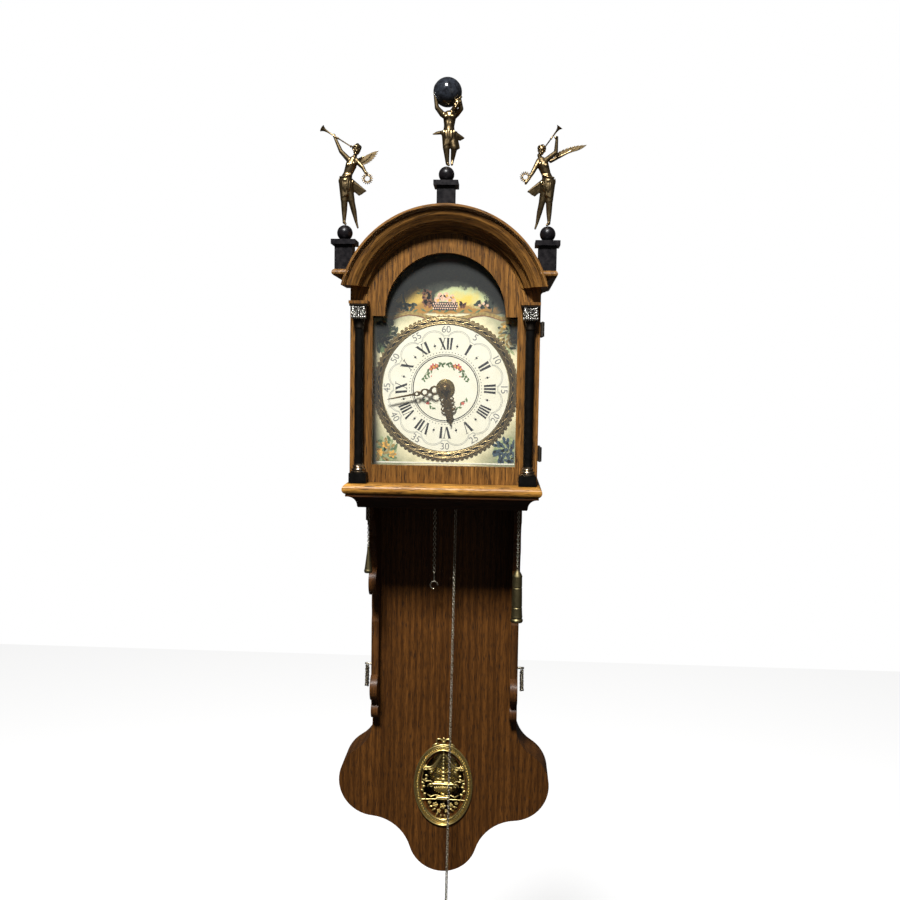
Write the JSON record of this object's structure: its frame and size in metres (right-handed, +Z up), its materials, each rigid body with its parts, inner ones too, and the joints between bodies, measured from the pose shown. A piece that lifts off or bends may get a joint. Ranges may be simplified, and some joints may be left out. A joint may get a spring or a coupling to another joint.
{
  "type": "wall clock",
  "caption": "Short-tailed wall clock with an arched hood, glazed door, painted dial, pendulum in a scrolled tail, and chain drive with an alarm.",
  "frame": {"origin": "centre of the hole in the wall hanger plate, at the wall plane", "axes": "+X to the viewer's right, +Y to the wall, +Z up"},
  "size_m": [0.3252, 0.202, 1.11],
  "materials": {
    "dark_oak": "waxed dark oak",
    "oak": "waxed oak",
    "golden_oak": "waxed golden oak",
    "steel": "satin",
    "polished_brass": "polished, greenish gold",
    "chain": "plated",
    "painted_dial": "painted",
    "chapter_paint": "enamelled",
    "hands": "darkened brass",
    "hinge_iron": "dark",
    "black_lacquer": "black satin lacquer",
    "bronze": "antique bronze",
    "clear_glass": "clear",
    "aged_brass": "aged",
    "movement_brass": "satin"
  },
  "bodies": {
    "case": {"backboard": "dark_oak", "tail_front": "dark_oak", "tail_rim": "dark_oak", "consoles": "oak", "base_board": "golden_oak", "base_moulding": "oak", "seat_board": "oak", "hanger_plate": "steel", "tail_ornament": "polished_brass", "spare_chains": "chain", "movement_plates": "movement_brass", "plate_pillars": "movement_brass", "dial_plate": "painted_dial", "chapter_disc": "chapter_paint", "dial_ring": "polished_brass", "bell": "movement_brass", "bell_stand": "steel", "suspension_cock": "movement_brass", "alarm_bracket": "movement_brass", "alarm_chain_cross": "chain", "main_chain_over": "chain"},
    "hood": {"hood_sides": "oak", "hood_roof": "oak", "hood_cornice": "golden_oak", "hood_hinge_leaves": "hinge_iron", "finial_stands": "black_lacquer", "atlas_finial": "bronze", "angels": "bronze"},
    "door": {"door_frame": "oak", "door_glass": "clear_glass", "columns": "black_lacquer", "column_mounts": "polished_brass", "door_hinge_leaves": "hinge_iron"},
    "great_wheel_arbor": {"great_wheel": "movement_brass"},
    "main_sprocket_wheel": {"main_sprocket": "movement_brass"},
    "centre_arbor": {"centre_wheel": "movement_brass", "minute_hand": "hands"},
    "third_arbor": {"third_wheel": "movement_brass"},
    "escape_arbor": {"escape_wheel": "movement_brass"},
    "anchor_arbor": {"anchor": "steel"},
    "minute_wheel_stud": {"minute_wheel": "movement_brass"},
    "hour_pipe": {"hour_wheel": "movement_brass", "hour_hand": "hands"},
    "alarm_dial": {"alarm_disc": "movement_brass"},
    "hammer": {"strike_hammer": "steel"},
    "pendulum": {"pendulum_rod": "movement_brass", "pendulum_bob": "movement_brass"},
    "nut": {"rating_nut": "movement_brass"},
    "hook_end": {"main_chain_weight_side": "chain", "chain_hook": "aged_brass"},
    "free_end": {"main_chain_free_side": "chain", "chain_end_ring": "aged_brass"},
    "alarm_wheel": {"alarm_sprocket": "movement_brass"},
    "left_pulley": {"guide_pulley_left": "movement_brass"},
    "right_pulley": {"guide_pulley_right": "movement_brass"},
    "alarm_weight_end": {"alarm_chain_right": "chain", "alarm_weight": "aged_brass"},
    "alarm_counter_end": {"alarm_chain_left": "chain", "alarm_counterweight": "aged_brass"}
  },
  "joints": [
    {"name": "hood_slide", "type": "slide", "parent": "case", "child": "hood", "axis": [0, -1, 0], "range_m": [0, 0.17]},
    {"name": "door_swing", "type": "hinge", "parent": "hood", "child": "door", "pos_m": [0.1211, -0.172, -0.11], "axis": [0, 0, 1], "range_deg": [0, 90]},
    {"name": "centre_turn", "type": "hinge", "parent": "case", "child": "centre_arbor", "pos_m": [0, -0.09, -0.11], "axis": [0, 1, 0], "continuous": true},
    {"name": "great_wheel_turn", "type": "hinge", "parent": "case", "child": "great_wheel_arbor", "pos_m": [0, -0.09, -0.1436], "axis": [0, 1, 0], "continuous": true},
    {"name": "third_turn", "type": "hinge", "parent": "case", "child": "third_arbor", "pos_m": [0.015, -0.09, -0.09], "axis": [0, 1, 0], "continuous": true},
    {"name": "escape_turn", "type": "hinge", "parent": "case", "child": "escape_arbor", "pos_m": [0, -0.09, -0.07653], "axis": [0, 1, 0], "continuous": true},
    {"name": "minute_wheel_turn", "type": "hinge", "parent": "case", "child": "minute_wheel_stud", "pos_m": [-0.01358, -0.09, -0.09642], "axis": [0, 1, 0], "continuous": true},
    {"name": "hour_turn", "type": "hinge", "parent": "case", "child": "hour_pipe", "pos_m": [0, -0.09, -0.11], "axis": [0, 1, 0], "continuous": true},
    {"name": "alarm_disc_turn", "type": "hinge", "parent": "hour_pipe", "child": "alarm_dial", "pos_m": [0, -0.09, -0.11], "axis": [0, 1, 0], "continuous": true},
    {"name": "pendulum_swing", "type": "hinge", "parent": "case", "child": "pendulum", "pos_m": [0, -0.03, -0.05953], "axis": [0, 1, 0], "range_deg": [-3, 3]},
    {"name": "crutch_swing", "type": "hinge", "parent": "case", "child": "anchor_arbor", "pos_m": [0, -0.09, -0.05953], "axis": [0, 1, 0], "range_deg": [-3, 3]},
    {"name": "rating_nut_turn", "type": "hinge", "parent": "pendulum", "child": "nut", "pos_m": [0, -0.03, -0.70783], "axis": [0, 0, 1], "continuous": true},
    {"name": "hammer_swing", "type": "hinge", "parent": "case", "child": "hammer", "pos_m": [0.041, -0.09, -0.064], "axis": [0, 1, 0], "range_deg": [0, 14]},
    {"name": "hook_travel", "type": "slide", "parent": "case", "child": "hook_end", "axis": [0, 0, 1], "range_m": [-0.1, 0.07], "deforming": ["main_chain_weight_side"]},
    {"name": "free_chain_travel", "type": "slide", "parent": "case", "child": "free_end", "axis": [0, 0, 1], "range_m": [-0.07, 0.1], "deforming": ["main_chain_free_side"]},
    {"name": "main_sprocket_turn", "type": "hinge", "parent": "great_wheel_arbor", "child": "main_sprocket_wheel", "pos_m": [0, -0.09, -0.1436], "axis": [0, 1, 0], "range_deg": [-360, 360]},
    {"name": "alarm_weight_travel", "type": "slide", "parent": "case", "child": "alarm_weight_end", "axis": [0, 0, 1], "range_m": [-0.07, 0.06], "deforming": ["alarm_chain_right"]},
    {"name": "counterweight_travel", "type": "slide", "parent": "case", "child": "alarm_counter_end", "axis": [0, 0, 1], "range_m": [-0.06, 0.07], "deforming": ["alarm_chain_left"]},
    {"name": "alarm_sprocket_turn", "type": "hinge", "parent": "case", "child": "alarm_wheel", "pos_m": [0, -0.146, -0.222], "axis": [0, 1, 0], "range_deg": [-720, 720]},
    {"name": "left_pulley_turn", "type": "hinge", "parent": "case", "child": "left_pulley", "pos_m": [-0.0909, -0.146, -0.222], "axis": [0, 1, 0], "range_deg": [-720, 720]},
    {"name": "right_pulley_turn", "type": "hinge", "parent": "case", "child": "right_pulley", "pos_m": [0.0909, -0.146, -0.222], "axis": [0, 1, 0], "range_deg": [-720, 720]}
  ],
  "couplings": [
    {"joint": "great_wheel_turn", "follows": "centre_turn", "ratio": -0.16667},
    {"joint": "third_turn", "follows": "centre_turn", "ratio": -9},
    {"joint": "escape_turn", "follows": "centre_turn", "ratio": 77.4},
    {"joint": "minute_wheel_turn", "follows": "centre_turn", "ratio": -0.33333},
    {"joint": "hour_turn", "follows": "centre_turn", "ratio": 0.083333},
    {"joint": "crutch_swing", "follows": "pendulum_swing", "ratio": 1},
    {"joint": "free_chain_travel", "follows": "hook_travel", "ratio": -1},
    {"joint": "counterweight_travel", "follows": "alarm_weight_travel", "ratio": -1},
    {"joint": "left_pulley_turn", "follows": "alarm_weight_travel", "rad_per_m": -163.93},
    {"joint": "right_pulley_turn", "follows": "alarm_weight_travel", "rad_per_m": -163.93},
    {"joint": "alarm_sprocket_turn", "follows": "alarm_weight_travel", "rad_per_m": -163.93}
  ]
}
